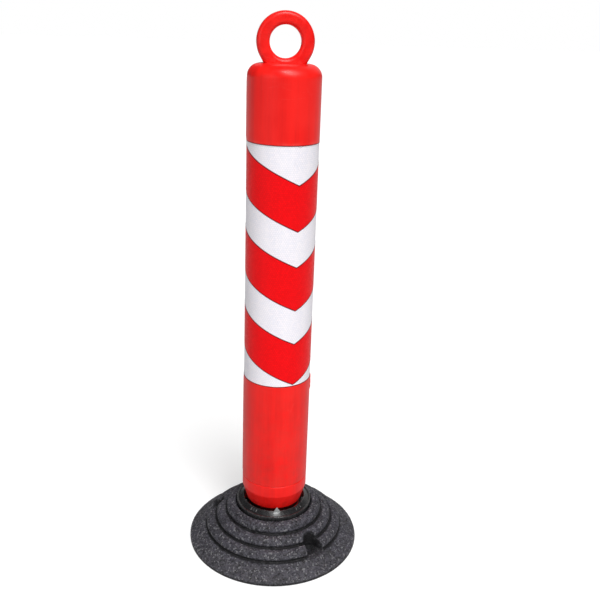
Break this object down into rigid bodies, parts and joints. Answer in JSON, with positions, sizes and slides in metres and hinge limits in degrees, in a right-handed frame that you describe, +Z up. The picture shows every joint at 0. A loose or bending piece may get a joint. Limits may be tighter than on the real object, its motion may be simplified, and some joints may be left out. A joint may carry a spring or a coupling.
{
  "type": "delineator post",
  "caption": "Ringed round plastic post with red and white chevron sheeting, set in a lock collar on a ridged round rubber base.",
  "frame": {"origin": "centre of the rubber base's underside, on the ground", "axes": "+Z up along the post; -Y is the front, where the collar's pointer stands; the lift ring lies in the XZ plane"},
  "size_m": [0.4, 0.4, 1.2],
  "materials": {
    "crumb_rubber": "bonded crumb rubber, matt, with light granules",
    "socket_plastic": "black moulded plastic, satin",
    "zinc_plate": "zinc-plated steel",
    "zinc_screw": "zinc-plated pan-head screws",
    "spring_steel": "spring steel",
    "collar_gloss": "glossy black moulded plastic",
    "pointer_grey": "light grey moulded plastic",
    "foot_red": "bright orange-red polyethylene, satin",
    "post_red": "bright orange-red polyethylene, satin",
    "ring_red": "bright orange-red polyethylene, satin",
    "nut_plastic": "black nylon",
    "sheeting_white": "white retroreflective sheeting with a fine cell pattern",
    "sheeting_red": "red retroreflective sheeting with a fine cell pattern"
  },
  "bodies": {
    "base": {"rubber_base": "crumb_rubber", "socket_cup": "socket_plastic", "clamp_plate": "zinc_plate", "clamp_screws": "zinc_screw", "snap_ring": "spring_steel"},
    "collar": {"lock_collar": "collar_gloss", "collar_pointer": "pointer_grey"},
    "post": {"post_foot": "foot_red", "post_tube": "post_red", "lift_ring": "ring_red", "ring_washer": "zinc_plate", "ring_nut": "nut_plastic", "white_sheeting": "sheeting_white", "red_chevron_1": "sheeting_red", "red_chevron_2": "sheeting_red", "red_chevron_3": "sheeting_red", "red_chevron_corners": "sheeting_red"}
  },
  "joints": [
    {"name": "collar_turn", "type": "hinge", "parent": "base", "child": "collar", "pos_m": [0, 0, 0.09], "axis": [0, 0, 1], "range_deg": [0, 60]},
    {"name": "post_lift", "type": "slide", "parent": "base", "child": "post", "axis": [0, 0, 1], "range_m": [0, 0.15]}
  ]
}
